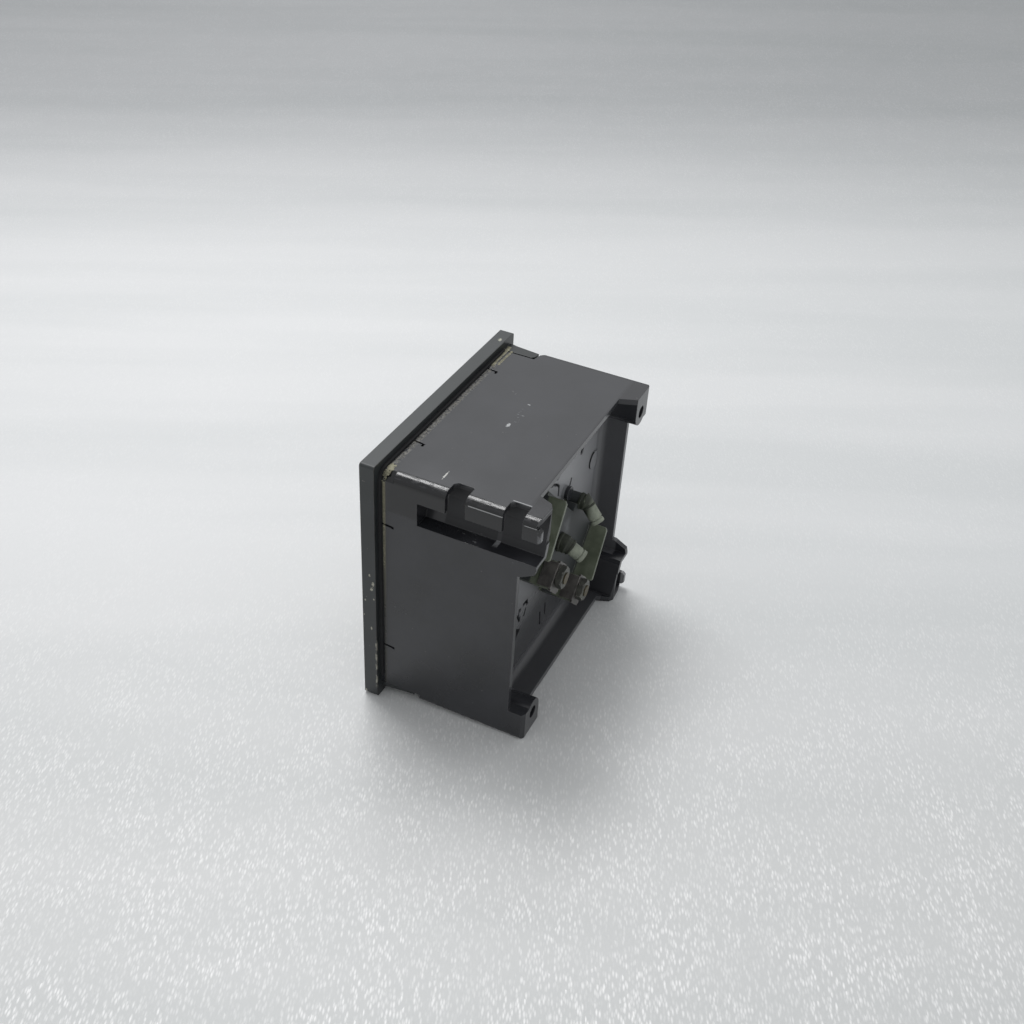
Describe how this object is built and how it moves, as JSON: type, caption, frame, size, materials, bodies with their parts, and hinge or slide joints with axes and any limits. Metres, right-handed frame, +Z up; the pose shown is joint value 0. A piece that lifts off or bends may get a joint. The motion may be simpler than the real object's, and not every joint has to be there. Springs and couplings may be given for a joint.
{
  "type": "panel frequency meter",
  "caption": "Square flush-mounting panel frequency meter with a quadrant scale, a moving-coil pointer, a zero adjuster and a black moulded case with clamp channels at its corners.",
  "frame": {"origin": "middle of the panel cut-out, in the plane of the front frame's rear face, which is the panel's front face", "axes": "+Y to the rear through the panel, +Z up, +X to the right seen from the front"},
  "size_m": [0.096, 0.059, 0.096],
  "materials": {
    "frame_black": "satin",
    "window_clear": "gloss",
    "gasket_foam": "matte",
    "case_black": "satin",
    "block_olive": "satin",
    "stud_brass": "satin",
    "clamp_nickel": "satin",
    "nut_nickel": "satin",
    "lock_nut_nickel": "satin",
    "sleeve_grey": "matte",
    "wire_core": "matte",
    "scale_white": "matte",
    "dial_screw_black": "satin",
    "stop_steel": "satin",
    "chassis_zinc": "satin",
    "chassis_screw_steel": "satin",
    "yoke_steel": "satin",
    "core_alnico": "satin",
    "holder_aluminium": "satin",
    "bridge_brass": "satin",
    "jewel_screw_brass": "satin",
    "rear_spring_bronze": "satin",
    "zero_screw_black": "satin",
    "lever_steel": "satin",
    "spring_stud_brass": "satin",
    "front_spring_bronze": "satin",
    "former_aluminium": "satin",
    "winding_copper": "satin",
    "spindle_steel": "satin",
    "pointer_black": "matte",
    "weight_brass": "satin",
    "board_green": "satin",
    "board_screw_steel": "satin",
    "lamination_steel": "satin",
    "capacitor_blue": "satin",
    "resistor_tan": "satin",
    "chip_black": "matte"
  },
  "bodies": {
    "meter": {"bezel": "frame_black", "window": "window_clear", "gasket": "gasket_foam", "case": "case_black", "terminal_block": "block_olive", "terminal_studs": "stud_brass", "terminal_clamps": "clamp_nickel", "terminal_nuts": "nut_nickel", "stud_lock_nuts": "lock_nut_nickel", "lead_sleeves": "sleeve_grey", "lead_wires": "wire_core", "scale_plate": "scale_white", "dial_screws": "dial_screw_black", "pointer_stops": "stop_steel", "chassis": "chassis_zinc", "chassis_screws": "chassis_screw_steel", "yoke_ring": "yoke_steel", "core_magnet": "core_alnico", "core_holder": "holder_aluminium", "front_bridge": "bridge_brass", "jewel_screws": "jewel_screw_brass", "rear_hairspring": "rear_spring_bronze", "circuit_board": "board_green", "board_screws": "board_screw_steel", "transformer": "lamination_steel", "capacitors": "capacitor_blue", "resistors": "resistor_tan", "converter_chip": "chip_black"},
    "movement": {"coil_former": "former_aluminium", "coil_winding": "winding_copper", "spindle": "spindle_steel", "pointer": "pointer_black", "balance_weights": "weight_brass"},
    "zero_adjuster": {"zero_screw": "zero_screw_black"},
    "lever": {"zero_lever": "lever_steel", "spring_stud": "spring_stud_brass", "front_hairspring": "front_spring_bronze"}
  },
  "joints": [
    {"name": "movement_turn", "type": "hinge", "parent": "meter", "child": "movement", "pos_m": [0.025, 0.017, -0.025], "axis": [0, 1, 0], "range_deg": [-2, 92]},
    {"name": "zero_screw_turn", "type": "hinge", "parent": "meter", "child": "zero_adjuster", "pos_m": [0.03349, -0.002, -0.03349], "axis": [0, 1, 0], "range_deg": [-45, 45]},
    {"name": "zero_lever_turn", "type": "hinge", "parent": "meter", "child": "lever", "pos_m": [0.025, 0.0022, -0.025], "axis": [0, 1, 0], "range_deg": [-5.06, 5.06]}
  ],
  "couplings": [
    {"joint": "zero_lever_turn", "follows": "zero_screw_turn", "ratio": 0.1125}
  ]
}
